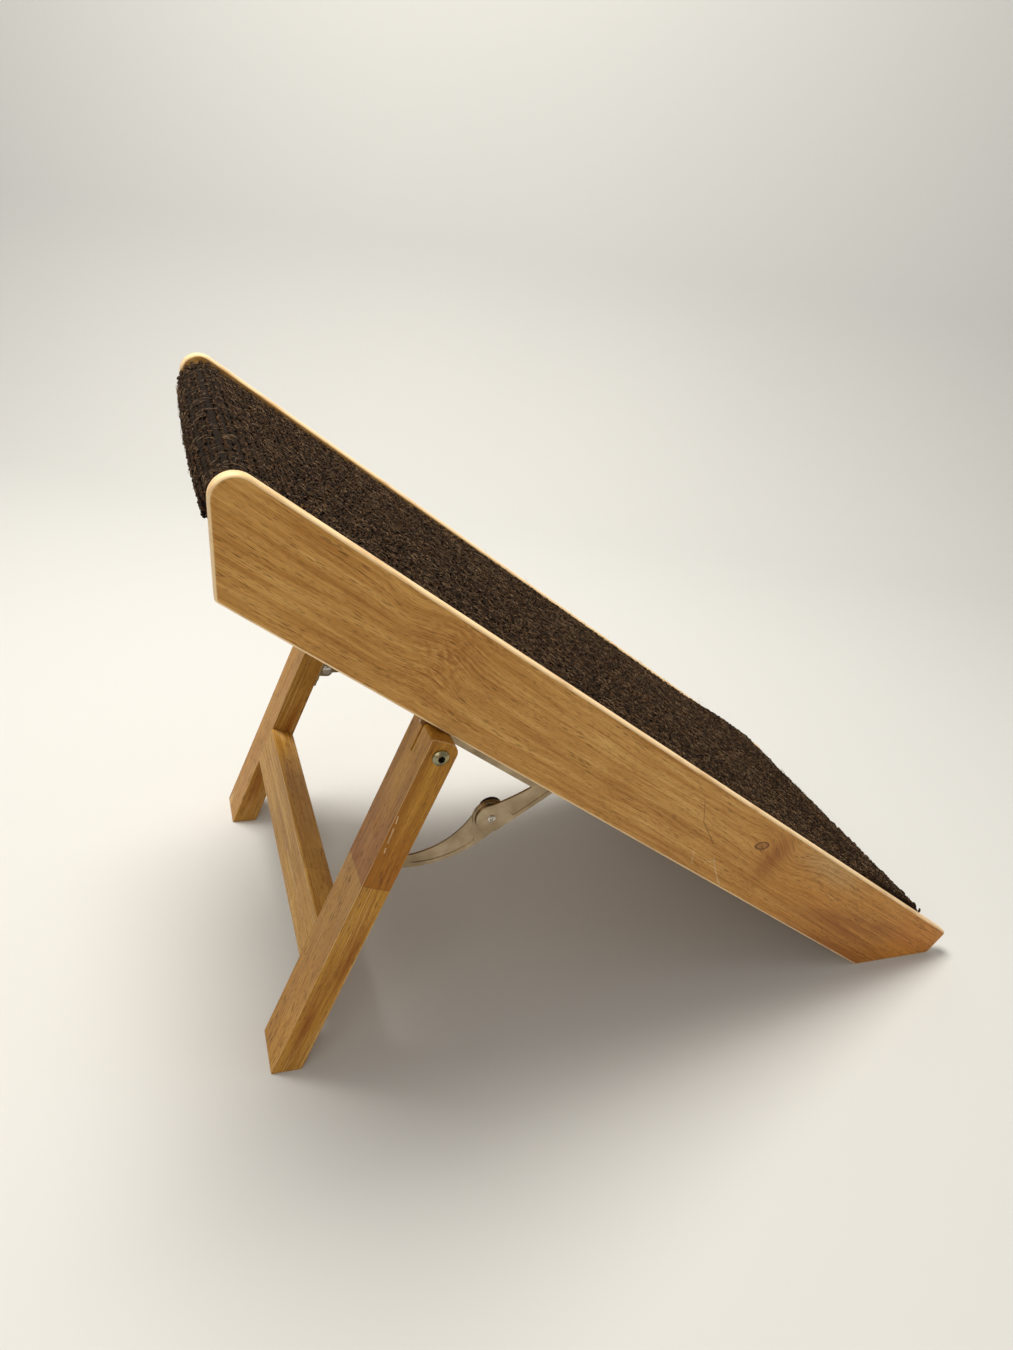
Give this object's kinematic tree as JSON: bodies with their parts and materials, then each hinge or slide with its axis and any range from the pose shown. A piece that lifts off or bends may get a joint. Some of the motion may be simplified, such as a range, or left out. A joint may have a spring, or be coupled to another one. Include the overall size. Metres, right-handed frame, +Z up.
{
  "type": "dog ramp",
  "caption": "Folding wooden pet ramp: carpeted deck between side boards, hinged leg frame with crossbar, held open by latching steel stays.",
  "frame": {"origin": "on the floor, under the middle of the bounding box of the open ramp", "axes": "+X points down the ramp to its low toe end, +Y across to the right side, +Z up"},
  "size_m": [0.735, 0.4116, 0.4999],
  "materials": {
    "black_plastic": "black moulded plastic",
    "board_wood": "satin clear lacquer over rubberwood",
    "carpet": "dark brown looped wool-look carpet",
    "dowel_wood": "fluted beech dowel",
    "leg_wood": "satin clear lacquer over finger-jointed rubberwood",
    "nickel_steel": "pressed sheet steel, nickel plated",
    "plywood": "plain plywood",
    "rail_wood": "planed, unfinished",
    "rivet_steel": "bright rivet steel",
    "spring_steel": "spring wire",
    "yellow_zinc": "yellow zinc plated"
  },
  "bodies": {
    "ramp": {"carpet": "carpet", "deck_panel": "plywood", "deck_screws": "yellow_zinc", "head_rail": "rail_wood", "left_anchor_rivet": "rivet_steel", "left_plate_screws": "yellow_zinc", "left_side_board": "board_wood", "left_stay_plate": "nickel_steel", "lower_rail": "rail_wood", "rail_dowels": "dowel_wood", "right_anchor_rivet": "rivet_steel", "right_plate_screws": "yellow_zinc", "right_side_board": "board_wood", "right_stay_plate": "nickel_steel", "toe_rail": "rail_wood", "upper_rail": "rail_wood"},
    "leg_frame": {"crossbar": "leg_wood", "crossbar_dowels": "dowel_wood", "left_bracket_screws": "yellow_zinc", "left_leg": "leg_wood", "left_leg_bracket": "nickel_steel", "left_leg_end_rivet": "rivet_steel", "left_pivot_bolt": "yellow_zinc", "left_pivot_nut": "yellow_zinc", "left_pivot_washer": "yellow_zinc", "right_bracket_screws": "yellow_zinc", "right_leg": "leg_wood", "right_leg_bracket": "nickel_steel", "right_leg_end_rivet": "rivet_steel", "right_pivot_bolt": "yellow_zinc", "right_pivot_nut": "yellow_zinc", "right_pivot_washer": "yellow_zinc"},
    "left_upper_arm": {"left_knee_rivet": "rivet_steel", "left_upper_arm": "nickel_steel"},
    "left_lower_arm": {"left_knee_collar": "rivet_steel", "left_latch_spring": "spring_steel", "left_lower_arm": "nickel_steel"},
    "left_latch": {"left_latch": "black_plastic"},
    "right_upper_arm": {"right_knee_rivet": "rivet_steel", "right_upper_arm": "nickel_steel"},
    "right_lower_arm": {"right_knee_collar": "rivet_steel", "right_latch_spring": "spring_steel", "right_lower_arm": "nickel_steel"},
    "right_latch": {"right_latch": "black_plastic"}
  },
  "joints": [
    {"name": "legs_fold", "type": "hinge", "parent": "ramp", "child": "leg_frame", "pos_m": [-0.20502, 0, 0.29503], "axis": [0, -1, 0], "range_deg": [0, 76]},
    {"name": "left_anchor_pivot", "type": "hinge", "parent": "ramp", "child": "left_upper_arm", "pos_m": [-0.08548, -0.1751, 0.2563], "axis": [0, -1, 0], "range_deg": [0, 120.54]},
    {"name": "left_leg_end_pivot", "type": "hinge", "parent": "leg_frame", "child": "left_lower_arm", "pos_m": [-0.22252, -0.1716, 0.17883], "axis": [0, 1, 0], "range_deg": [0, 122.7]},
    {"name": "left_latch_release", "type": "hinge", "parent": "left_lower_arm", "child": "left_latch", "pos_m": [-0.14886, -0.1693, 0.21619], "axis": [0, -1, 0], "range_deg": [0, 14], "stiffness_Nm_per_rad": 0.02},
    {"name": "right_anchor_pivot", "type": "hinge", "parent": "ramp", "child": "right_upper_arm", "pos_m": [-0.08548, 0.1751, 0.2563], "axis": [0, -1, 0], "range_deg": [0, 120.54]},
    {"name": "right_leg_end_pivot", "type": "hinge", "parent": "leg_frame", "child": "right_lower_arm", "pos_m": [-0.22252, 0.1716, 0.17883], "axis": [0, 1, 0], "range_deg": [0, 122.7]},
    {"name": "right_latch_release", "type": "hinge", "parent": "right_lower_arm", "child": "right_latch", "pos_m": [-0.14886, 0.1693, 0.21619], "axis": [0, -1, 0], "range_deg": [0, 14], "stiffness_Nm_per_rad": 0.02}
  ],
  "couplings": [
    {"joint": "left_anchor_pivot", "follows": "legs_fold", "ratio": 1.5854},
    {"joint": "left_leg_end_pivot", "follows": "legs_fold", "ratio": 1.6138},
    {"joint": "right_anchor_pivot", "follows": "legs_fold", "ratio": 1.5854},
    {"joint": "right_leg_end_pivot", "follows": "legs_fold", "ratio": 1.6138}
  ]
}
